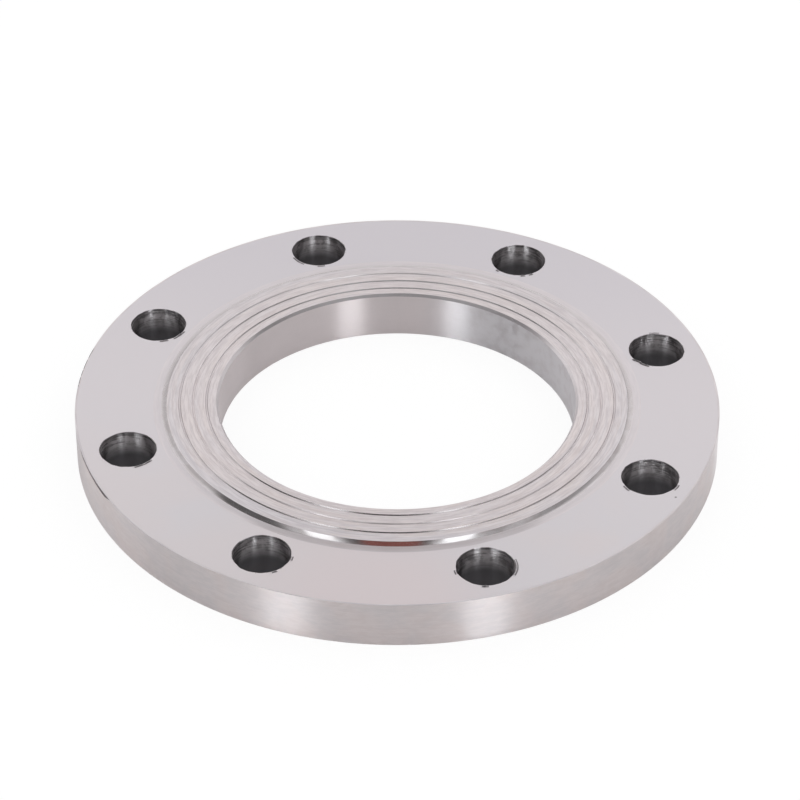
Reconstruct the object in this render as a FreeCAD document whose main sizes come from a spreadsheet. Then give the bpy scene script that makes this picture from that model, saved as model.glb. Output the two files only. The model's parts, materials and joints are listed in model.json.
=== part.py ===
import FreeCAD, Part
import math
import os
import Sketcher

# A plate flange: one ring of steel plate, turned and drilled, for a pipe that is welded into its bore.
# Lengths are in millimetres. The origin is the centre of the back face, and +Z points out of the raised face.

# Driving dimensions: the name, the value and what it measures

DIMENSIONS = (
    ("bore_diameter", 116.0, "slips over a pipe of 114.3"),
    ("inner_land", 3.9, "bore to the middle of the innermost groove"),
    ("groove_count", 3, "concentric sealing grooves"),
    ("groove_pitch", 4.4, "from groove to groove"),
    ("outer_land", 4.1, "middle of the outermost groove to the edge of the raised face"),
    ("bolt_land", 6.2, "edge of the raised face to the nearest point of a bolt hole"),
    ("bolt_hole_diameter", 18.0, "clears a 16 mm bolt"),
    ("bolt_hole_count", 8, "evenly spaced, astride the axes"),
    ("rim_land", 5.5, "furthest point of a bolt hole to the rim"),
    ("plate_thickness", 15.6, "back face to bolting face"),
    ("raised_face_height", 0.8, "sealing face above the bolting face"),
    ("foot_radius", 1.9, "hollow that the tool leaves at the foot of the raised face"),
    ("groove_width", 1.0, "across the mouth of a groove"),
    ("groove_floor_width", 0.3, "across the flat floor of a groove"),
    ("groove_depth", 0.3, "below the raised face"),
    ("bore_chamfer", 0.8, "bevel of the bore at the raised face"),
    ("bore_back_break", 0.4, "bevel of the bore at the back face"),
    ("rim_break", 0.4, "bevel on both edges of the rim"),
    ("bolt_hole_break", 0.2, "bevel on both mouths of a bolt hole"),
    ("tool_run_out", 2.0, "how far a cutting outline runs past the blank"),
)

doc = FreeCAD.newDocument("plate_flange")
sheet = doc.addObject("Spreadsheet::Sheet", "Sizes")
for row, (alias, value, meaning) in enumerate(DIMENSIONS, start=1):
    sheet.set(f"A{row}", meaning)
    sheet.set(f"B{row}", str(value))
    sheet.setAlias(f"B{row}", alias)
doc.recompute()

# The radii are chained outwards from the bore, land by land, so that nothing on the ring can run into
# its neighbour: a wider bore, groove, land or bolt hole moves all that lies outside it.

BORE = "Sizes.bore_diameter / 2"
FIRST_GROOVE = f"{BORE} + Sizes.inner_land"
FACE = f"{FIRST_GROOVE} + (Sizes.groove_count - 1) * Sizes.groove_pitch + Sizes.outer_land"
BOLT_CIRCLE = f"{FACE} + Sizes.bolt_land + Sizes.bolt_hole_diameter / 2"
RIM = f"{BOLT_CIRCLE} + Sizes.bolt_hole_diameter / 2 + Sizes.rim_land"
TOP = "Sizes.plate_thickness + Sizes.raised_face_height"


def size(formula):
    """The value of a formula in the sheet's sizes."""
    return float(sheet.evalExpression(formula))


plate = float(sheet.plate_thickness)
top = size(TOP)
bore_radius = size(BORE)
face_radius = size(FACE)
rim_radius = size(RIM)
hole_radius = float(sheet.bolt_hole_diameter) / 2
hole_count = int(sheet.bolt_hole_count)
run_out = float(sheet.tool_run_out)

# The body, and the steps that every feature of it shares

body = doc.addObject("PartDesign::Body", "flange")
body.Label = "flange"
body.Placement = FreeCAD.Placement()

ORIGIN, START, END, CENTRE = -1, 1, 2, 3
UP = FreeCAD.Vector(0, 0, 1)


def plane_of_body(role):
    """One of the body's own origin planes."""
    return next(feature for feature in body.Origin.OriginFeatures if feature.Role == role)


def new_sketch(name, role):
    """An empty sketch on one of the body's origin planes."""
    sketch = body.newObject("Sketcher::SketchObject", name)
    sketch.AttachmentSupport = [(plane_of_body(role), "")]
    sketch.MapMode = "FlatFace"
    return sketch


def fix(sketch, *constraint):
    """Adds a constraint that holds no size."""
    sketch.addConstraint(Sketcher.Constraint(*constraint))


def measure(sketch, formula, *constraint):
    """Adds a constraint whose size is the formula's value, and ties it to the sheet by that formula."""
    index = sketch.addConstraint(Sketcher.Constraint(*constraint, size(formula)))
    sketch.setExpression(f"Constraints[{index}]", formula)


def finished(feature, volume_before=None):
    """Builds the feature, stops if a cut took nothing away, and gives the volume that is left."""
    body.Tip = feature
    doc.recompute()
    volume = feature.Shape.Volume
    if volume_before is not None and not 0 < volume < volume_before:
        raise ValueError(f"{feature.Name} takes nothing away")
    return volume


def round_edges(shape, radius, height):
    """The names of the shape's full-circle edges of that radius at that height, wherever they are centred."""
    near = 1e-4
    return [
        f"Edge{number}"
        for number, edge in enumerate(shape.Edges, start=1)
        if isinstance(edge.Curve, Part.Circle)
        and edge.isClosed()
        and abs(edge.Curve.Radius - radius) < near
        and abs(edge.Curve.Center.z - height) < near
    ]


def bevel(name, formula, base, edges):
    """A bevel of equal legs along the named edges of the base feature."""
    chamfer = body.newObject("PartDesign::Chamfer", name)
    chamfer.Base = (base, edges)
    chamfer.setExpression("Size", formula)
    return chamfer


# The blank: a ring cut out of plate, as thick as the flange is at its raised face

blank_outline = new_sketch("blank_outline", "XY_Plane")
for formula, radius in ((RIM, rim_radius), (BORE, bore_radius)):
    circle = blank_outline.addGeometry(Part.Circle(FreeCAD.Vector(), UP, radius))
    fix(blank_outline, "Coincident", circle, CENTRE, ORIGIN, START)
    measure(blank_outline, formula, "Radius", circle)

blank = body.newObject("PartDesign::Pad", "blank")
blank.Profile = blank_outline
blank.setExpression("Length", TOP)
volume = finished(blank)

# The facing cut takes the plate down outside the raised face. Its tool leaves a hollow foot:
# an arc that leaves the bolting face without an edge and climbs to the sharp edge of the raised face.

foot_radius = float(sheet.foot_radius)
foot_drop = foot_radius - float(sheet.raised_face_height)
foot_reach = math.sqrt(foot_radius**2 - foot_drop**2)
foot_centre = FreeCAD.Vector(face_radius + foot_reach, plate + foot_radius, 0)
corners = (
    FreeCAD.Vector(face_radius + foot_reach, plate, 0),
    FreeCAD.Vector(rim_radius + run_out, plate, 0),
    FreeCAD.Vector(rim_radius + run_out, top + run_out, 0),
    FreeCAD.Vector(face_radius, top + run_out, 0),
    FreeCAD.Vector(face_radius, top, 0),
)

facing_outline = new_sketch("facing_outline", "XZ_Plane")
foot = facing_outline.addGeometry(
    Part.ArcOfCircle(
        Part.Circle(foot_centre, UP, foot_radius),
        math.pi + math.atan2(foot_drop, foot_reach),
        math.pi * 3 / 2,
    )
)
bed, outside, above, inside = (
    facing_outline.addGeometry(Part.LineSegment(a, b)) for a, b in zip(corners, corners[1:])
)
fix(facing_outline, "Tangent", foot, END, bed, START)
for first, second in ((bed, outside), (outside, above), (above, inside)):
    fix(facing_outline, "Coincident", first, END, second, START)
fix(facing_outline, "Coincident", inside, END, foot, START)
for line in (bed, above):
    fix(facing_outline, "Horizontal", line)
for line in (outside, inside):
    fix(facing_outline, "Vertical", line)
measure(facing_outline, "Sizes.foot_radius", "Radius", foot)
measure(facing_outline, "Sizes.plate_thickness", "DistanceY", ORIGIN, START, bed, START)
measure(facing_outline, TOP, "DistanceY", ORIGIN, START, inside, END)
measure(facing_outline, FACE, "DistanceX", ORIGIN, START, inside, END)
measure(facing_outline, f"{RIM} + Sizes.tool_run_out", "DistanceX", ORIGIN, START, bed, END)
measure(facing_outline, "Sizes.tool_run_out", "DistanceY", inside, END, inside, START)

facing = body.newObject("PartDesign::Groove", "facing")
facing.Profile = facing_outline
facing.ReferenceAxis = (facing_outline, ["V_Axis"])
facing.Angle = 360.0
volume = finished(facing, volume)

# The sealing grooves: flat-bottomed V cuts in the raised face, concentric with the bore.
# Their section is drawn once for each groove, from the innermost one outwards.

half_mouth = float(sheet.groove_width) / 2
half_floor = float(sheet.groove_floor_width) / 2
groove_floor = top - float(sheet.groove_depth)

groove_outline = new_sketch("groove_outline", "XZ_Plane")
for number in range(int(sheet.groove_count)):
    MIDDLE = f"{FIRST_GROOVE} + {number} * Sizes.groove_pitch"
    middle = size(MIDDLE)
    corners = (
        FreeCAD.Vector(middle - half_floor, groove_floor, 0),
        FreeCAD.Vector(middle + half_floor, groove_floor, 0),
        FreeCAD.Vector(middle + half_mouth, top, 0),
        FreeCAD.Vector(middle - half_mouth, top, 0),
    )
    sides = [
        groove_outline.addGeometry(Part.LineSegment(a, b)) for a, b in zip(corners, corners[1:] + corners[:1])
    ]
    for first, second in zip(sides, sides[1:] + sides[:1]):
        fix(groove_outline, "Coincident", first, END, second, START)
    floor, _, mouth, _ = sides
    for line in (floor, mouth):
        fix(groove_outline, "Horizontal", line)
    measure(groove_outline, "Sizes.groove_floor_width", "DistanceX", floor, START, floor, END)
    measure(groove_outline, "Sizes.groove_width", "DistanceX", mouth, END, mouth, START)
    measure(groove_outline, "Sizes.groove_depth", "DistanceY", floor, START, mouth, END)
    measure(groove_outline, TOP, "DistanceY", ORIGIN, START, mouth, END)
    measure(
        groove_outline,
        f"{MIDDLE} - Sizes.groove_floor_width / 2",
        "DistanceX", ORIGIN, START, floor, START,
    )
    measure(
        groove_outline,
        f"{MIDDLE} - Sizes.groove_width / 2",
        "DistanceX", ORIGIN, START, mouth, END,
    )

grooves = body.newObject("PartDesign::Groove", "sealing_grooves")
grooves.Profile = groove_outline
grooves.ReferenceAxis = (groove_outline, ["V_Axis"])
grooves.Angle = 360.0
volume = finished(grooves, volume)

# The bolt holes: one is drilled from the bolting face and repeated round the bolt circle.
# The first stands half a pitch off the X axis, so that the holes lie astride both axes.

HOLE_X = f"({BOLT_CIRCLE}) * cos(180 deg / Sizes.bolt_hole_count)"
HOLE_Y = f"({BOLT_CIRCLE}) * sin(180 deg / Sizes.bolt_hole_count)"

hole_outline = new_sketch("bolt_hole_outline", "XY_Plane")
hole_outline.setExpression("AttachmentOffset.Base.z", "Sizes.plate_thickness")
mouth = hole_outline.addGeometry(Part.Circle(FreeCAD.Vector(size(HOLE_X), size(HOLE_Y), 0), UP, hole_radius))
measure(hole_outline, "Sizes.bolt_hole_diameter / 2", "Radius", mouth)
measure(hole_outline, HOLE_X, "DistanceX", ORIGIN, START, mouth, CENTRE)
measure(hole_outline, HOLE_Y, "DistanceY", ORIGIN, START, mouth, CENTRE)

first_hole = body.newObject("PartDesign::Hole", "first_bolt_hole")
first_hole.Profile = hole_outline
doc.recompute()
first_hole.DepthType = "ThroughAll"
first_hole.DrillPoint = "Flat"
first_hole.Threaded = False
first_hole.setExpression("Diameter", "Sizes.bolt_hole_diameter")
volume = finished(first_hole, volume)

bolt_holes = body.newObject("PartDesign::PolarPattern", "bolt_holes")
bolt_holes.Originals = [first_hole]
bolt_holes.Axis = (hole_outline, ["N_Axis"])
bolt_holes.Angle = 360.0
bolt_holes.setExpression("Occurrences", "Sizes.bolt_hole_count")
volume = finished(bolt_holes, volume)

# The edges: a bevel at the mouth of the bore, and small breaks elsewhere so that no edge is left sharp.
# Only the edge of the raised face stays as the tool left it.

mouth_edge = round_edges(bolt_holes.Shape, bore_radius, top)
bore_mouth = bevel("bore_mouth", "Sizes.bore_chamfer", bolt_holes, mouth_edge)
volume = finished(bore_mouth, volume)

back_edge = round_edges(bore_mouth.Shape, bore_radius, 0)
bore_back = bevel("bore_back", "Sizes.bore_back_break", bore_mouth, back_edge)
volume = finished(bore_back, volume)

rim_edges = round_edges(bore_back.Shape, rim_radius, plate) + round_edges(bore_back.Shape, rim_radius, 0)
rim = bevel("rim_edges", "Sizes.rim_break", bore_back, rim_edges)
volume = finished(rim, volume)

hole_edges = round_edges(rim.Shape, hole_radius, plate) + round_edges(rim.Shape, hole_radius, 0)
hole_mouths = bevel("bolt_hole_mouths", "Sizes.bolt_hole_break", rim, hole_edges)
volume = finished(hole_mouths, volume)

# The finished part is checked, then written

for item in doc.Objects:
    if {"Invalid", "Error"} & set(item.State):
        raise ValueError(f"{item.Name} failed: {item.State}")
if body.Shape.isNull() or not body.Shape.isValid() or len(body.Shape.Solids) != 1:
    raise ValueError("the flange is not one valid solid")
found = [len(edges) for edges in (mouth_edge, back_edge, rim_edges, hole_edges)]
if found != [1, 1, 2, 2 * hole_count]:
    raise ValueError("an edge that should be bevelled was not found")

os.makedirs("parts", exist_ok=True)
body.Shape.exportStep(f"parts/{body.Label}.step")

box = body.Shape.optimalBoundingBox()
print(f"{body.Label}: {box.XLength:.2f} x {box.YLength:.2f} x {box.ZLength:.2f} mm, {volume:.0f} mm3")
print(f"bolt circle {2 * size(BOLT_CIRCLE):.2f} mm, raised face {2 * face_radius:.2f} mm")
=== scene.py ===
import json
import math

import bpy
import numpy as np
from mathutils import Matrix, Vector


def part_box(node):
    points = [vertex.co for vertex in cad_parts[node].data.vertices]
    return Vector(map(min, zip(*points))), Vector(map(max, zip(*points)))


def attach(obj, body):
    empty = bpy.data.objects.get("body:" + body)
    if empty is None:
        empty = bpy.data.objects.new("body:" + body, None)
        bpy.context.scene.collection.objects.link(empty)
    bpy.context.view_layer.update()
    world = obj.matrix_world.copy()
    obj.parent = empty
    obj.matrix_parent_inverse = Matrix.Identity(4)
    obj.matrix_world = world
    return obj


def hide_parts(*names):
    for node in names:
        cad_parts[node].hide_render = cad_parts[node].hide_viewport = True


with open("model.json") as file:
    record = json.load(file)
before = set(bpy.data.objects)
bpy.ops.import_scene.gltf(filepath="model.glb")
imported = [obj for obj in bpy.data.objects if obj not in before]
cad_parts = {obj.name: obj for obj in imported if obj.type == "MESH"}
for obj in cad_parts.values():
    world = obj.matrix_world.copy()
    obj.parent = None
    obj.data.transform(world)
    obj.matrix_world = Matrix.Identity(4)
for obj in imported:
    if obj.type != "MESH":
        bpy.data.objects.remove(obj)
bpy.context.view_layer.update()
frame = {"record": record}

# The camera: a long lens that looks down on the flange from 37 degrees above its face, turned a few degrees
# off the line between two bolt holes. The ring's finishes and the studio's lights go by the same heading.

MM = 0.001

heading = math.radians(4.99)
elevation = math.radians(36.61)
distance = 1159.4 * MM
aim_aside, aim_beyond = 0.91 * MM, 20.30 * MM
cosine, sine = math.cos(heading), math.sin(heading)
to_the_right, to_the_back = heading, heading + math.pi / 2

camera = bpy.data.objects.new("camera", bpy.data.cameras.new("camera"))
bpy.context.scene.collection.objects.link(camera)
camera.data.lens = 156.98
camera.data.clip_end = 10
before = aim_beyond - distance * math.cos(elevation)
camera.location = (
    aim_aside * cosine - before * sine,
    aim_aside * sine + before * cosine,
    distance * math.sin(elevation),
)
camera.rotation_euler = (math.pi / 2 - elevation, 0, heading)
bpy.context.scene.camera = camera
bpy.context.scene.view_settings.view_transform = "Standard"

# The turned side of the ring: the raised face, faced in a lathe, with three flat-bottomed grooves, the hollow
# foot that the tool's nose burnished bright, and the bore with its bevel. All of it is stainless steel.

mount = {entry["name"]: entry for entry in frame["record"]["mounts"]}
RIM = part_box("flange")[1].x / MM
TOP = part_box("flange")[1].z / MM
BORE = mount["pipe_bore"]["dims"]["r_mm"]
BOLT_CIRCLE = mount["bolt_circle"]["dims"]["pcd_mm"] / 2
HOLE = mount["bolt_circle"]["dims"]["hole_r_mm"]
HOLES = mount["bolt_circle"]["dims"]["count"]
FACE_HEIGHT = 0.8
FACE_EDGE = 74.8
OUTER_GROOVE = 70.6
PLATE = TOP - FACE_HEIGHT

SECTOR_STEPS = 64
RING_STEPS = SECTOR_STEPS * HOLES


class Wire:
    """A node's output that can be reckoned with: an expression on it adds the Math nodes that work it out."""

    def __init__(self, finish, socket):
        self.finish = finish
        self.socket = socket

    def math(self, operation, *values):
        """A Math node's operation on this output and up to two more values."""
        return self.finish.reckon(operation, self, *values)

    def __add__(self, other):
        return self.math("ADD", other)

    def __radd__(self, other):
        return self.math("ADD", other)

    def __sub__(self, other):
        return self.math("SUBTRACT", other)

    def __rsub__(self, other):
        return self.finish.reckon("SUBTRACT", other, self)

    def __mul__(self, other):
        return self.math("MULTIPLY", other)

    def __rmul__(self, other):
        return self.math("MULTIPLY", other)

    def __truediv__(self, other):
        return self.math("DIVIDE", other)


class Finish:
    """The node tree of a material or a world, drawn node by node."""

    def __init__(self, owner):
        owner.use_nodes = True
        self.owner = owner
        self.tree = owner.node_tree
        self.tree.nodes.clear()

    def node(self, kind, settings=None, inputs=None, output=0):
        """Adds a node: first its settings, a ramp's stops among them, then its sockets' values or links."""
        made = self.tree.nodes.new(f"ShaderNode{kind}")
        for name, value in (settings or {}).items():
            if name == "stops":
                ramp = made.color_ramp.elements
                while len(ramp) < len(value):
                    ramp.new(0.5)
                for stop, (place, grey) in zip(ramp, value):
                    stop.position = place
                    stop.color = (grey, grey, grey, 1)
            else:
                setattr(made, name, value)
        for name, value in (inputs or {}).items():
            if isinstance(value, Wire):
                self.tree.links.new(value.socket, made.inputs[name])
            else:
                made.inputs[name].default_value = value
        return Wire(self, made.outputs[output]) if made.outputs else None

    def reckon(self, operation, *values):
        """A Math node on up to three values."""
        return self.node("Math", {"operation": operation}, dict(enumerate(values)))

    def climb(self, value, low, high):
        """0 up to the low end, 1 from the high end, and a smooth climb between them."""
        ends = {"Value": value, "From Min": low, "From Max": high}
        return self.node("MapRange", {"interpolation_type": "SMOOTHSTEP"}, ends)

    def between(self, value, first, last, soft):
        """1 from the first value to the last, 0 outside them, with ends that are soft by so much."""
        ended = self.climb(value, last - soft, last + soft)
        return self.climb(value, first - soft, first + soft) * (1 - ended)

    def mix(self, first, second, share, blend="MIX"):
        """The first colour where the share is 0, and the second blended in by the share."""
        ends = {0: share, 6: first, 7: second}
        return self.node("Mix", {"data_type": "RGBA", "blend_type": blend}, ends, 2)

    def axes(self, vector):
        """The three parts of a vector."""
        parts = self.node("SeparateXYZ", inputs={0: vector}).socket.node
        return [Wire(self, socket) for socket in parts.outputs]

    def vector(self, x, y, z):
        """A vector of three parts."""
        return self.node("CombineXYZ", inputs={0: x, 1: y, 2: z})

    def apart(self, place, other):
        """How far apart two places are."""
        return self.node("VectorMath", {"operation": "DISTANCE"}, {0: place, 1: other}, 1)

    def noise(self, place, scale, detail=2.0, roughness=0.5):
        """Soft noise, mostly between 0.3 and 0.7."""
        blanks = {"Vector": place, "Scale": scale, "Detail": detail, "Roughness": roughness}
        return self.node("TexNoise", inputs=blanks)

    def round_the_axis(self):
        """The point's place on the piece, its distance from Z, and its direction from Z, in metres."""
        place = self.node("TexCoord", output="Object")
        x, y, z = self.axes(place)
        radius = (x * x + y * y).math("SQRT")
        return place, radius, (x / radius, y / radius), z

    def toward(self, direction, angle):
        """How far a direction points the way of an angle: 1 straight along it, and -1 straight against it."""
        x, y = direction
        return x * math.cos(angle) + y * math.sin(angle)

    def lines(self, along, across, direction, run, detail=3.0):
        """Lines that a lathe leaves: noise drawn out round the axis. It changes slowly along the turning
        direction, at so many changes a turn, and fast with the run across it, at so many a metre."""
        x, y = direction
        return self.noise(self.vector(x * along, y * along, run * across), 1.0, detail, 0.6)

    def bump(self, height, deep):
        """A Bump node for a height that is worked out from 0 to 1, over so many metres."""
        return self.node("Bump", inputs={"Height": height, "Distance": deep, "Strength": 1.0})

    def steel(self, **inputs):
        """Ends a material in a metal shader. An underscore stands for a blank in a socket's name."""
        named = {name.replace("_", " "): value for name, value in inputs.items()}
        shader = self.node("BsdfPrincipled", inputs=named)
        self.node("OutputMaterial", inputs={"Surface": shader})
        return self.owner


def new_finish(name):
    """A new material, as a node tree to draw in."""
    return Finish(bpy.data.materials.new(name))


# Where scale is left on the rim's upper edge: the direction of its middle, and how far it goes to each side

scale_angle, scale_half = math.radians(175.5), math.radians(6.5)


def faced_steel():
    """The raised face, and the hollow where the tool ran out of it: fine concentric turning lines, some dark
    and some light. The rim's broken edge has it too, with thin dark scale left at one side."""
    finish = new_finish("faced_steel")
    place, radius, direction, z = finish.round_the_axis()
    fine = finish.lines(2.0, 5200.0, direction, radius)
    broad = finish.lines(1.5, 900.0, direction, radius)
    tint = finish.climb(finish.lines(1.0, 420.0, direction, radius + 0.3), 0.40, 0.60)
    shade = finish.climb(0.4 * fine + 0.6 * broad, 0.38, 0.62)
    dark = finish.mix((0.660, 0.605, 0.605, 1), (0.615, 0.595, 0.625, 1), tint)
    light = finish.mix((0.805, 0.745, 0.735, 1), (0.745, 0.728, 0.765, 1), tint)
    colour = finish.mix(dark, light, shade)

    # Patches, a painted reflection tint that is warmer at the back, and a warmer tint on the lands inside of
    # the outer groove
    patches = finish.climb(finish.noise(place, 90.0, 3.0), 0.4, 0.6)
    colour = finish.mix(colour, (0.700, 0.675, 0.705, 1), 0.5 * patches)
    back = finish.toward(direction, to_the_back)
    colour = finish.mix(colour, (0.765, 0.725, 0.735, 1), 0.45 * finish.climb(back, -0.6, 0.2))
    inside = 1 - finish.climb(radius, (OUTER_GROOVE - 0.5) * MM, (OUTER_GROOVE - 0.2) * MM)
    colour = finish.mix(colour, (0.82, 0.735, 0.715, 1), 0.08 + 0.28 * inside)

    # The scoring
    scored = finish.climb(finish.lines(10.0, 1900.0, direction, radius), 0.36, 0.64)
    hollows = finish.mix(colour, (0.50, 0.46, 0.47, 1), 0.26)
    ridges = finish.mix(colour, (0.97, 0.93, 0.935, 1), 0.26)
    colour = finish.mix(hollows, ridges, scored)

    # The hollow beside the foot, with painted shade that makes it darker in front
    run_out = finish.between(radius, (FACE_EDGE + 1.2) * MM, (FACE_EDGE + 4.4) * MM, 0.5 * MM)
    front_shade = finish.climb(back, -0.78, -0.87)
    hollow_front_shade = finish.mix((0.775, 0.735, 0.755, 1), (0.575, 0.54, 0.555, 1), front_shade)
    colour = finish.mix(colour, hollow_front_shade, 0.7 * run_out)

    # The scale, a thin line round the rim's upper edge only
    beside = finish.toward(direction, scale_angle)
    scale = finish.climb(beside, math.cos(scale_half), math.cos(0.8 * scale_half))
    scale = scale * finish.climb(radius, (RIM - 0.25) * MM, (RIM - 0.15) * MM)
    scale = scale * finish.climb(z, (PLATE - 3.6) * MM, (PLATE - 2.6) * MM)
    scale = scale * finish.climb(finish.noise(place, 500.0), 0.34, 0.46)
    return finish.steel(
        Base_Color=finish.mix(colour, (0.12, 0.11, 0.12, 1), scale),
        Metallic=0.60,
        Roughness=0.24 + 0.16 * broad,
        Anisotropic=0.5,
        Anisotropic_Rotation=0.25,
        Normal=finish.bump(fine, 3e-6),
    )


def burnished_steel():
    """The foot of the raised face: pressed smooth and bright by the tool's nose, duller at the back, and
    darker there by painted shade.
    """
    finish = new_finish("burnished_steel")
    _, radius, direction, z = finish.round_the_axis()
    lines = finish.lines(3.0, 3000.0, direction, radius + z)
    clouds = finish.lines(14.0, 700.0, direction, radius + z)
    behind = finish.climb(finish.toward(direction, to_the_back), -0.45, 0.15)
    # Painted shade: the light clouds fade towards the back, so the foot is darker there
    share = finish.climb(clouds, 0.38, 0.62) * (1 - 0.6 * behind)
    return finish.steel(
        Base_Color=finish.mix((0.74, 0.71, 0.71, 1), (0.83, 0.812, 0.822, 1), share),
        Metallic=1.0,
        Roughness=0.05 + 0.06 * lines + 0.20 * behind,
        Normal=finish.bump(clouds, 1e-6),
    )


def scored_steel():
    """The groove flanks that face the rim: cut clean and bright, but scored by the tool's side."""
    finish = new_finish("scored_steel")
    _, radius, direction, z = finish.round_the_axis()
    lines = finish.lines(5.0, 4000.0, direction, radius + z)
    return finish.steel(
        Base_Color=(0.62, 0.59, 0.595, 1),
        Metallic=1.0,
        Roughness=0.16 + 0.10 * lines,
    )


def chamfered_steel():
    """The bore's bevel and the groove flanks that face the bore: dull, and darker at the back by painted
    shade.
    """
    finish = new_finish("chamfered_steel")
    _, radius, direction, z = finish.round_the_axis()
    lines = finish.lines(5.0, 4000.0, direction, radius + z)
    # Painted shade: the colour darkens towards the back
    behind = finish.climb(finish.toward(direction, to_the_back), 0.42, 0.70)
    return finish.steel(
        Base_Color=finish.mix((0.87, 0.84, 0.85, 1), (0.47, 0.448, 0.455, 1), behind),
        Metallic=1.0,
        Roughness=0.42 + 0.14 * lines,
    )


def bored_steel():
    """The wall of the bore: bored with a coarser feed, so that reflections are drawn out up and down, and
    stained on the right."""
    finish = new_finish("bored_steel")
    place, _, direction, z = finish.round_the_axis()
    lines = finish.lines(6.0, 2500.0, direction, z)
    grain = finish.noise(place, 1100.0, 3.0, 0.6)
    stains = finish.climb(finish.noise(place, 260.0, 4.0, 0.65), 0.42, 0.66)
    x, _, _ = finish.axes(place)
    warm = finish.mix((0.675, 0.615, 0.620, 1), (0.645, 0.628, 0.650, 1), finish.climb(x, 0.0, 0.02))
    stained = 0.06 + 0.27 * finish.climb(x, 0.0, 0.03)
    return finish.steel(
        Base_Color=finish.mix(warm, (0.55, 0.51, 0.52, 1), 0.25 * lines + stained * stains),
        Metallic=1.0,
        Roughness=0.30 + stained * 0.2 * stains,
        Anisotropic=1.0,
        Anisotropic_Rotation=0.25,
        Normal=finish.bump(grain, 2e-5),
    )


faced, burnished, scored = faced_steel(), burnished_steel(), scored_steel()
chamfered, bored = chamfered_steel(), bored_steel()
finishes = [faced, burnished, scored, chamfered, bored]
patches = []


def ring_angles(steps):
    """The turning angle of each of these steps round the ring."""
    return 2 * math.pi * (np.asarray(steps) % RING_STEPS) / RING_STEPS


def turned(profile):
    """Turns a profile about Z: its point (r, z) at the angle t lies at (r cos t, r sin t, z)."""
    radius, height = np.asarray(profile, float).T[:, :, None]
    angle = ring_angles(np.arange(RING_STEPS))
    return np.stack((radius * np.cos(angle), radius * np.sin(angle), height + 0 * angle), axis=-1)


def slot_row(strip, columns):
    """The material slots of one strip of quads: a finish fills it, and an array already holds them."""
    if isinstance(strip, np.ndarray):
        return strip
    return np.full(columns, finishes.index(strip))


def add_patch(grid, strips):
    """Quads between the rows and columns of a grid that closes on itself sideways: the corners of each are a
    point, the one ahead of it, and the same two in the next row. A strip lies between two rows."""
    rows, columns = grid.shape[:2]
    number = np.arange(rows * columns).reshape(rows, columns)
    ahead = np.roll(number, -1, axis=1)
    quads = np.stack((number[:-1], ahead[:-1], ahead[1:], number[1:]), axis=-1)
    slots = np.concatenate([slot_row(strip, columns) for strip in strips])
    patches.append((grid.reshape(-1, 3), quads.reshape(-1, 4), slots))


# The foot: from the sharp edge outwards, its slope falls away, and its height is the slope's running sum.
# The tool's nose burnished it over the first part of its reach

foot_reach = np.array((0.0, 0.12, 0.8, 1.5, 1.95, 3.1, 4.3))
foot_slope = np.radians((45.0, 25.0, 18.0, 12.0, 9.0, 8.0, 0.0))
burnished_reach = 1.85
edge_steps = np.linspace(0, foot_reach[1], 3, endpoint=False)
steps_out = np.concatenate((edge_steps, np.linspace(foot_reach[1], foot_reach[-1], 24)))
steepness = np.tan(np.interp(steps_out, foot_reach, foot_slope))
fallen = np.concatenate(([0], np.cumsum((steepness[1:] + steepness[:-1]) / 2 * np.diff(steps_out))))
fallen *= (TOP - PLATE) / fallen[-1]
foot = np.column_stack((FACE_EDGE + steps_out, TOP - fallen))[::-1]
faced_steps = int(np.sum(steps_out > burnished_reach))

# The lands and grooves, from the edge of the raised face in to the bore, then the bore down to the back. Each
# groove has the radius of its middle, and the finishes of its outer and inner flanks

groove_floor, groove_flank, groove_depth = 0.36, 0.25, 0.32
mouth = groove_floor / 2 + groove_flank
grooves = (
    (OUTER_GROOVE, faced, scored),
    (66.25, chamfered, faced),
    (61.9, chamfered, scored),
)
profile = list(map(tuple, foot))
strips = [faced] * faced_steps + [burnished] * (len(foot) - 1 - faced_steps)
for middle, outside, inside in grooves:
    profile += [
        (middle + mouth, TOP),
        (middle + groove_floor / 2, TOP - groove_depth),
        (middle - groove_floor / 2, TOP - groove_depth),
        (middle - mouth, TOP),
    ]
    strips += [faced, outside, faced, inside]
bevel, back_break, bore_steps = 0.8, 0.4, 6
profile += [(BORE + bevel, TOP), (BORE, TOP - bevel)]
strips += [faced, chamfered]
profile += [(BORE, height) for height in np.linspace(TOP - bevel, back_break, bore_steps + 1)[1:]]
strips += [bored] * bore_steps
FLAT_INSIDE = foot[0, 0]
profile += [(BORE + back_break, 0), (FLAT_INSIDE, 0)]
strips += [bored, faced]
add_patch(turned(profile), strips)

# The rim: the turned outside of the plate, with its edges barely broken. Its finish is coarser than the
# face's, so that it mirrors the surroundings only as tall bands of light. A nick runs along its upper edge.

nick_angle = math.radians(207.2)
nick_half = math.radians(9.0)
nick_depth, nick_below = 0.2, 1.7


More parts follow.
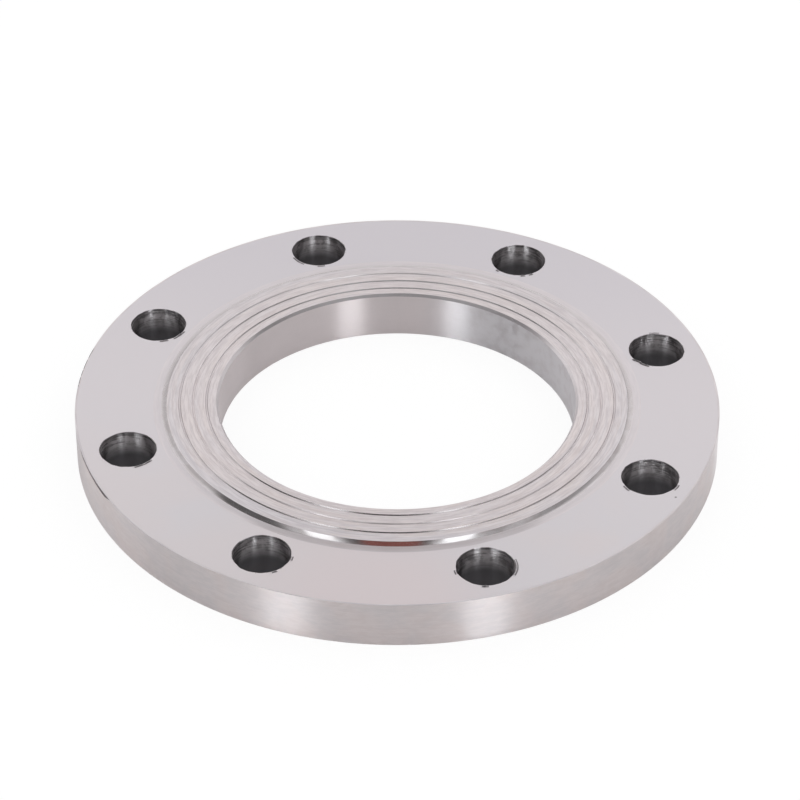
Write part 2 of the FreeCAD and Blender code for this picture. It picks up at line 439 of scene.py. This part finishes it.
def rim_steel():
    """The rim: a fine even grain that turning lines run through, painted shade in the nick, painted shade at
    its far left and a painted highlight at its far right.
    """
    finish = new_finish("rim_steel")
    place, radius, direction, z = finish.round_the_axis()
    lines = finish.lines(8.0, 2500.0, direction, z)
    grain = finish.noise(place, 900.0, 3.0, 0.6)
    clouds = finish.noise(place, 60.0, 2.0)
    brushed = finish.lines(26.0, 700.0, direction, z)
    colour = finish.mix((0.705, 0.635, 0.630, 1), (0.685, 0.645, 0.655, 1), finish.climb(clouds, 0.42, 0.58))
    colour = finish.mix(colour, (0.79, 0.73, 0.73, 1), 0.5 * finish.climb(brushed, 0.36, 0.64))
    # Painted shade at the rim's far left and a painted highlight at its far right
    side_shade_and_highlight = finish.toward(direction, to_the_right)
    colour = finish.mix(colour, (0.40, 0.385, 0.40, 1), 0.6 * finish.climb(side_shade_and_highlight, -0.93, -1.0))
    colour = finish.mix(colour, (0.95, 0.93, 0.94, 1), finish.climb(side_shade_and_highlight, 0.955, 0.995))
    colour = finish.mix(colour, (0.56, 0.51, 0.515, 1), 0.5 * lines)

    # The painted shade in the nick, deepest at its middle
    beside = finish.toward(direction, nick_angle)
    along = finish.climb(beside, math.cos(nick_half), math.cos(0.6 * nick_half))
    down = PLATE * MM - z
    nick_shade = finish.climb(along * nick_below * MM - down, 0.0, 0.2 * MM)
    nick_shade = nick_shade * (0.85 + 0.15 * finish.climb(grain, 0.4, 0.6))
    return finish.steel(
        Base_Color=finish.mix(colour, (0.04, 0.02, 0.025, 1), nick_shade),
        Metallic=1.0,
        Roughness=0.24 + 0.12 * clouds,
        Anisotropic=1.0,
        Anisotropic_Rotation=0.25,
        Normal=finish.bump(0.9 * clouds + 0.1 * grain, 1.5e-4),
    )


rim = rim_steel()
finishes.append(rim)
flat_margin, edge, nick_margin = 0.6, 0.04, 0.15
rim_steps = 8
FLAT_OUTSIDE = RIM - flat_margin
rounding = [
    (RIM - edge * (1 - math.sin(turn)), edge * (1 - math.cos(turn)))
    for turn in np.radians((0, 30, 60, 90))
]
profile = [(FLAT_OUTSIDE, 0)] + rounding
rim_heights = np.linspace(edge, PLATE - nick_below - nick_margin, rim_steps + 1)
profile += [(RIM, height) for height in rim_heights[1:]]
nick_rows = slice(len(profile), len(profile) + 2)
profile += [(RIM, PLATE - nick_below), (RIM, PLATE - 2 * nick_margin), (RIM, PLATE - nick_margin)]
strips = [faced] + [rim] * (len(profile) - 1)
profile += [(r, PLATE - z) for r, z in reversed(rounding)] + [(FLAT_OUTSIDE, PLATE)]
strips += [faced] * (len(profile) - 1 - len(strips))
rim_grid = turned(profile)
away = (ring_angles(np.arange(RING_STEPS)) - nick_angle) / nick_half
rim_grid[nick_rows, :, :2] *= 1 - nick_depth / RIM * np.clip(1 - away**2, 0, 1)[:, None]
add_patch(rim_grid, strips)

# The bolting face, the back and the eight bolt holes between them. The faces are flat. The holes were drilled
# from the bolting face: feed rings score the top of their walls, and torn burrs stand round their edges.

pit_hole, pit_angle, pit_away = math.radians(337.5), math.radians(311.0), 12.6
pit_place = (
    (BOLT_CIRCLE * math.cos(pit_hole) + pit_away * math.cos(pit_angle)) * MM,
    (BOLT_CIRCLE * math.sin(pit_hole) + pit_away * math.sin(pit_angle)) * MM,
    PLATE * MM,
)


def plate_steel():
    """The bolting face: very smooth and even, with a painted reflection tint that is warm in front and cool
    at the back, a few dark specks round the holes and one small pit."""
    finish = new_finish("plate_steel")
    place, radius, direction, _ = finish.round_the_axis()
    x, y, _ = finish.axes(place)
    tint = finish.noise(place, 28.0, 2.0)
    lines = finish.lines(2.0, 2500.0, direction, radius)
    warm = finish.mix((0.735, 0.697, 0.710, 1), (0.722, 0.700, 0.724, 1), finish.climb(tint, 0.42, 0.58))
    front_edge = (0.002, -0.104, PLATE * MM)
    pink = 1 - finish.climb(finish.apart(place, front_edge), 0.015, 0.045)
    warm = finish.mix(warm, (0.755, 0.694, 0.706, 1), pink)
    # A painted reflection tint: warmer towards the front, cooler towards the back
    cool = finish.mix(warm, (0.740, 0.710, 0.732, 1), finish.climb(y, -0.07, 0.0))
    colour = finish.mix(cool, (0.708, 0.684, 0.718, 1), finish.climb(y, 0.0, 0.10))

    # Specks of scale round the holes: the plane is folded into one hole's share of the turn
    share = (finish.reckon("ARCTAN2", y, x) * (HOLES / (2 * math.pi))).math("WRAP", 1.0, 0.0) - 0.5
    turn = share * (2 * math.pi / HOLES)
    from_hole_x = radius * turn.math("COSINE") - BOLT_CIRCLE * MM
    from_hole_y = radius * turn.math("SINE")
    from_hole = (from_hole_x * from_hole_x + from_hole_y * from_hole_y).math("SQRT")
    near = 1 - finish.climb(from_hole, (HOLE + 0.25) * MM, (HOLE + 0.95) * MM)
    specks = finish.climb(finish.noise(place, 1300.0, 3.0, 0.7) + 0.10 * near, 0.70, 0.80) * near
    pit = 1 - finish.climb(finish.apart(place, pit_place), 0.2 * MM, 0.5 * MM)
    return finish.steel(
        Base_Color=finish.mix(colour, (0.10, 0.085, 0.085, 1), specks.math("MAXIMUM", 0.75 * pit)),
        Metallic=0.58,
        Roughness=0.275 + 0.03 * lines,
        Anisotropic=0.3,
        Anisotropic_Rotation=0.25,
    )


def drilled_steel():
    """The wall of a bolt hole: drilled glossy and dark, scored round by the feed, and smudged, with painted
    shade that darkens it deeper down and along its top edge.
    """
    finish = new_finish("drilled_steel")
    place, _, _, z = finish.round_the_axis()
    x, y, _ = finish.axes(place)
    rings = finish.noise(finish.vector(x * 90.0, y * 90.0, z * 1800.0), 1.0, 3.0, 0.6)
    smudges = finish.noise(place, 420.0, 4.0, 0.6)
    # Painted shade: the wall darkens deeper down, and along its top edge
    near_top = finish.climb(z, (PLATE - 9.4) * MM, (PLATE - 2.4) * MM)
    lip_shade = finish.climb(z, (PLATE - 1.3) * MM, (PLATE - 0.2) * MM)
    depth_shaded_wall = finish.mix((0.118, 0.113, 0.121, 1), (0.70, 0.665, 0.68, 1), near_top)
    marks_and_lip_shade = finish.climb(0.5 * smudges + 0.5 * rings, 0.44, 0.60) * (0.3 + 0.4 * near_top)
    marks_and_lip_shade = marks_and_lip_shade.math("MAXIMUM", (0.45 + 0.55 * smudges) * lip_shade)
    return finish.steel(
        Base_Color=finish.mix(depth_shaded_wall, (0.12, 0.112, 0.115, 1), marks_and_lip_shade),
        Metallic=1.0,
        Roughness=0.26 + 0.12 * smudges,
        Anisotropic=1.0,
        Anisotropic_Rotation=0.25,
        Normal=finish.bump(0.4 * smudges + 0.6 * rings * near_top, 3e-5),
    )


plate, drilled = plate_steel(), drilled_steel()
finishes += [plate, drilled]


def sector_outline(first_step, height):
    """The outline of one hole's share of a flat face: points (r cos t, r sin t, z) along the outer arc, in
    along the far side, back along the inner arc and out along the near side."""
    arc = np.arange(SECTOR_STEPS)
    side = np.linspace(FLAT_OUTSIDE, FLAT_INSIDE, SIDE_STEPS + 1)
    steps = np.concatenate((arc, 0 * side[1:] + SECTOR_STEPS, SECTOR_STEPS - arc, 0 * side[1:]))
    radius = np.concatenate((0 * arc + side[0], side[:-1], 0 * arc + side[-1], side[:0:-1]))
    angle = ring_angles(first_step + steps)
    return np.column_stack((radius * np.cos(angle), radius * np.sin(angle), np.full(len(angle), height)))


def closed_wave(angle, generator, first, last, height):
    """A wavy line that closes on itself: a sum of sines of whole numbers of waves from the first up to the
    last, each begun at random and lower the shorter it is."""
    waves = np.arange(first, last)[:, None]
    phase = generator.uniform(0, 2 * math.pi, waves.shape)
    return height * np.sum(np.sin(waves * angle + phase) / waves**0.7, axis=0)


def arched(angle, middle, half):
    """An arch over part of a turn: 1 less the square of how far the angle is from the middle, in half
    widths, and 0 past its ends. The middle and the half width are in degrees."""
    away = (np.degrees(angle) - middle + 180) % 360 - 180
    return np.clip(1 - (away / half) ** 2, 0, 1)


def corner(radius):
    """The direction from a hole's middle to its share's corner at this radius: its tangent is how far the
    corner lies aside over how far it lies out past the bolt circle."""
    return math.atan2(radius * math.sin(half_sector), radius * math.cos(half_sector) - BOLT_CIRCLE)


# The directions of a share's outline from its hole: the corners lie where they do, and the steps between two
# corners are even

SIDE_STEPS = 16
half_sector = math.pi / HOLES
corner_out, corner_in = corner(FLAT_OUTSIDE), corner(FLAT_INSIDE)
corners = (-corner_out, corner_out, corner_in, 2 * math.pi - corner_in, 2 * math.pi - corner_out)
corner_steps = np.cumsum((0, SECTOR_STEPS, SIDE_STEPS, SECTOR_STEPS, SIDE_STEPS))
around = np.interp(np.arange(corner_steps[-1]), corner_steps, corners)

# Each hole's burrs: the direction from the hole's middle and the half width in degrees, the height, and how
# far the burr hangs over the hole

burrs = (
    ((237, 24, 0.40, 0.15), (231, 8, 0.10, 0.35), (96, 18, 0.12, 0.12)),
    ((226, 6, 0.20, 0.05), (282, 6, 0.25, 0.05), (299, 5, 0.25, 0.0)),
    ((227, 22, 0.20, 0.05), (280, 12, 0.12, 0.0)),
    ((325, 19, 0.35, 0.15), (288, 10, 0.20, 0.05)),
    ((309, 22, 0.32, 0.10), (222, 20, 0.05, 0.22)),
    ((300, 7, 0.30, 0.05), (351, 7, 0.22, 0.05)),
    ((347, 12, 0.35, 0.05), (8, 20, 0.25, 0.0), (273, 7, 0.45, 0.0), (202, 7, 0.25, 0.0)),
    ((220, 10, 0.20, 0.05), (330, 12, 0.12, 0.0)),
)
hole_break, hole_apron = 0.2, 1.5
flat_shares = (0.25, 0.6)
burr_section = ((1.05, 0.0), (0.82, 0.6), (0.66, 1.0), (0.42, 0.7), (hole_break, 0.0))
dark_burr = 0.08
ragged_depth = 3.0
ringed_depth, ring_pitch, ring_depth, ring_places = 6.0, 1.1, 0.05, 9
ring_strength = (0.8, 1.0, 0.6, 1.2, 0.4, 0.6, 1.7, 1.1)
row_gap, plain_steps = 0.2, 6
ringed_rows = np.arange(hole_break, ringed_depth, row_gap)
plain_rows = np.linspace(ringed_depth, PLATE - hole_break, plain_steps + 1)
wall_depths = np.concatenate((ringed_rows, plain_rows))


def circle(middle, direction, radius, height):
    """A ring of points round a hole's middle (x, y): (x + r cos d, y + r sin d, z) in the direction d."""
    x = middle[0] + radius * np.cos(direction)
    y = middle[1] + radius * np.sin(direction)
    return np.column_stack((x, y, height + 0 * direction))


def feed_ring(depth, wobble, force):
    """How far the feed rings stand back from the wall: a sine down the wall that wobbles round it, dies out
    with depth and is stronger at some turns than at others."""
    here = np.interp(depth, np.linspace(0, ringed_depth, len(force)), force)
    fade = np.clip(1 - depth / ringed_depth, 0, 1)
    return ring_depth * here * fade * (1 + np.sin(2 * math.pi * depth / ring_pitch + wobble))


generator = np.random.default_rng(7)
for hole in range(HOLES):
    middle_angle = (2 * hole + 1) * half_sector
    middle = np.array((math.cos(middle_angle), math.sin(middle_angle))) * BOLT_CIRCLE
    direction = around + middle_angle
    ragged = closed_wave(around, generator, first=5, last=24, height=0.07)
    torn = np.clip(1 + closed_wave(around, generator, first=11, last=50, height=0.55), 0.0, 2.2)
    burr = sum(height * arched(direction, where, half) for where, half, height, _ in burrs[hole]) * torn
    ragged = ragged - sum(hang * arched(direction, where, half) for where, half, _, hang in burrs[hole])
    wobble = closed_wave(around, generator, first=1, last=6, height=0.5)
    force = generator.uniform(0.3, 1.0, ring_places) * ring_strength[hole]

    # From the outline in to the burr, down the wall, and out again under the plate
    outline_top = sector_outline(hole * SECTOR_STEPS, PLATE)
    outline_back = sector_outline(hole * SECTOR_STEPS, 0.0)
    apron_top = circle(middle, direction, HOLE + hole_apron, PLATE)
    apron_back = circle(middle, direction, HOLE + hole_apron, 0.0)
    rows = [outline_top]
    rows += [apron_top + (outline_top - apron_top) * share for share in flat_shares[::-1]]
    rows += [apron_top]
    for reach, share in burr_section:
        rows.append(circle(middle, direction, HOLE + reach + ragged, PLATE + burr * share))
    flat_strips = len(rows) - len(burr_section)
    for depth in wall_depths:
        wall = HOLE + ragged * math.exp(-depth / ragged_depth) + feed_ring(depth, wobble, force)
        rows.append(circle(middle, direction, wall, PLATE - depth))
    wall_strips = len(wall_depths) + 1
    rows += [circle(middle, direction, HOLE + hole_break, 0.0), apron_back]
    rows += [apron_back + (outline_back - apron_back) * share for share in flat_shares]
    rows += [outline_back]
    # Burrs taller than dark_burr take the hole wall's finish, with its painted shade along the top edge
    flank = np.where(burr > dark_burr, finishes.index(drilled), finishes.index(plate))
    strips = [plate] * flat_strips + [flank, flank, plate, flank] + [drilled] * wall_strips
    strips += [plate] * (len(rows) - 1 - len(strips))
    add_patch(np.array(rows), strips)

# The whole ring: one solid piece of steel, with nothing fixed to it. The turned side, the rim and the drilled
# shares meet point for point, and are welded into one closed shell that stands in for the CAD's solid.

points, quads, slots = [], [], []
for patch_points, patch_quads, patch_slots in patches:
    quads.append(patch_quads + sum(map(len, points)))
    points.append(patch_points)
    slots.append(patch_slots)
rounded = np.round(np.concatenate(points), 5)
places, merged = np.unique(rounded, axis=0, return_inverse=True)
quads = merged.reshape(-1)[np.concatenate(quads)]

shape = bpy.data.meshes.new("flange_ring")
shape.from_pydata((places * MM).tolist(), [], quads.tolist())
for material in finishes:
    shape.materials.append(material)
shape.polygons.foreach_set("material_index", np.concatenate(slots).astype(np.int32))
shape.polygons.foreach_set("use_smooth", np.ones(len(quads), bool))
shape.set_sharp_from_angle(angle=math.radians(24))
shape.update()

ring = bpy.data.objects.new("flange_ring", shape)
bpy.context.scene.collection.objects.link(ring)
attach(ring, "root")
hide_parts("flange")

# The studio: a white floor that keeps a soft shadow, and a world that shows white to the camera and an even
# level to dull surfaces. Bright ones mirror a white back wall, a dim room and two tall strip lights.

floor_shape = bpy.data.meshes.new("floor")
reach, under = 3.0, -0.00005
floor_shape.from_pydata(
    [(-reach, -reach, under), (reach, -reach, under), (reach, reach, under), (-reach, reach, under)],
    [],
    [(0, 1, 2, 3)],
)
floor = bpy.data.objects.new("floor", floor_shape)
bpy.context.scene.collection.objects.link(floor)


def ray_kinds(finish):
    """Whether a ray comes straight from the camera, and whether something mirrored or bent it on its way."""
    paths = finish.node("LightPath").socket.node
    mirrored, bent = paths.outputs["Is Glossy Ray"], paths.outputs["Is Transmission Ray"]
    return Wire(finish, paths.outputs["Is Camera Ray"]), Wire(finish, mirrored) + Wire(finish, bent)


finish = new_finish("floor_paper")
seen, mirrored = ray_kinds(finish)
paper = finish.node("BsdfDiffuse", inputs={"Color": (0.95, 0.95, 0.95, 1)})
white = finish.node("Emission", inputs={"Color": (1, 1, 1, 1), "Strength": 1.03})
lit = finish.node("MixShader", inputs={0: seen * 0.87 + mirrored * 0.25, 1: paper, 2: white})
finish.node("OutputMaterial", inputs={"Surface": lit})
floor_shape.materials.append(finish.owner)

world = bpy.data.worlds.new("studio")
bpy.context.scene.world = world
world.cycles.sampling_method = "NONE"
finish = Finish(world)
east, north, up = finish.axes(finish.node("TexCoord", output="Generated"))
aside = finish.toward((east, north), to_the_right)
beyond = finish.toward((east, north), to_the_back)
pitch = finish.reckon("ARCTAN2", up, beyond * -1.0) / math.pi
turn = finish.reckon("ARCTAN2", aside, math.cos(elevation) - beyond) * (180 / math.pi)

# The room: dim, with dark gaps, each with its two ends and their softness in degrees of turn, and its depth.
# The turn is that of a turned surface that mirrors it, 0 towards the camera. A dark red card hangs in front

gaps = (
    (-50.5, -30.0, 3.0, 0.38),
    (-13.3, 8.8, 1.5, 0.38),
    (23.0, 28.5, 2.0, 0.12),
    (37.0, 58.0, 3.5, 0.17),
)
room = 0.50
for first, last, soft, depth in gaps:
    room = room - depth * finish.between(turn, first, last, soft)
card = finish.between(turn, -9.0, 6.0, 0.6) * finish.climb(pitch, 0.36, 0.42)

# The back wall: white where the flat faces mirror it, and dimmer farther down and out to the sides. The ramp
# runs from the far left to the far right

far = finish.node("ValToRGB", {"stops": (
    (0.190, 0.88),
    (0.240, 0.60),
    (0.310, 0.54),
    (0.350, 0.71),
    (0.385, 0.76),
    (0.500, 0.74),
    (0.615, 0.80),
    (0.690, 0.79),
    (0.720, 0.70),
    (0.760, 0.48),
    (0.810, 0.50),
    (0.890, 0.90),
)}, {"Fac": 0.5 * aside + 0.5})
spread = aside.math("ABSOLUTE")
near = 0.90 + 0.07 * finish.climb(spread, 0.02, 0.09)
away = finish.climb(pitch, 0.80, 0.86).math("MAXIMUM", finish.climb(spread, 0.18, 0.27))
lifted = 0.055 * finish.between(turn, -35, 33, 5) + 0.03 * finish.between(turn, -53, -35, 5)
behind = finish.climb(pitch - lifted, 0.67, 0.73)

black, tint = (0, 0, 0, 1), (1.0, 0.965, 0.975, 1)
wall = finish.mix(finish.mix(black, tint, near), finish.mix(black, tint, far), away)
low = finish.climb(pitch, 0.88, 0.96) * finish.climb(spread, 0.30, 0.45)
wall = finish.mix(wall, (0.30, 0.28, 0.285, 1), low)
shaded = finish.climb(aside, 0.28, 0.34) * (1 - finish.climb(pitch, 0.750, 0.785))
wall = finish.mix(wall, (0.50, 0.475, 0.48, 1), 0.9 * shaded)

# The two white side walls. The right one begins farther round

to_the_side = (turn * -1.0).math("MAXIMUM", turn - 17.0)
sides = finish.climb(spread, 0.60, 0.75) * finish.climb(to_the_side, 44, 56)
sides = sides * finish.climb(pitch, 0.42, 0.52)
room = finish.mix(finish.mix(black, tint, room), (0.22, 0.085, 0.075, 1), card)
mirror = finish.mix(finish.mix(room, wall, behind), (0.97, 0.94, 0.95, 1), sides)

# The strip lights: two tall bands, strong low down, where the rim and the bore mirror them, and weaker
# farther up, where the foot does

lamps = finish.between(turn, -23.5, -16.0, 0.4) + finish.between(turn, 11.6, 19.5, 0.4)
glow = finish.node("ValToRGB", {"stops": (
    (0.015, 0.00),
    (0.030, 1.00),
    (0.130, 0.95),
    (0.190, 0.14),
    (0.660, 0.14),
    (0.700, 0.00),
)}, {"Fac": pitch})
mirror = finish.mix(mirror, (6.4, 6.7, 6.8, 1), lamps * glow, "ADD")

seen, mirrored = ray_kinds(finish)
plain = finish.mix((0.90, 0.90, 0.90, 1), mirror, mirrored)
sky = finish.node("Background", inputs={"Color": finish.mix(plain, (1, 1, 1, 1), seen)})
finish.node("OutputWorld", inputs={"Surface": sky})
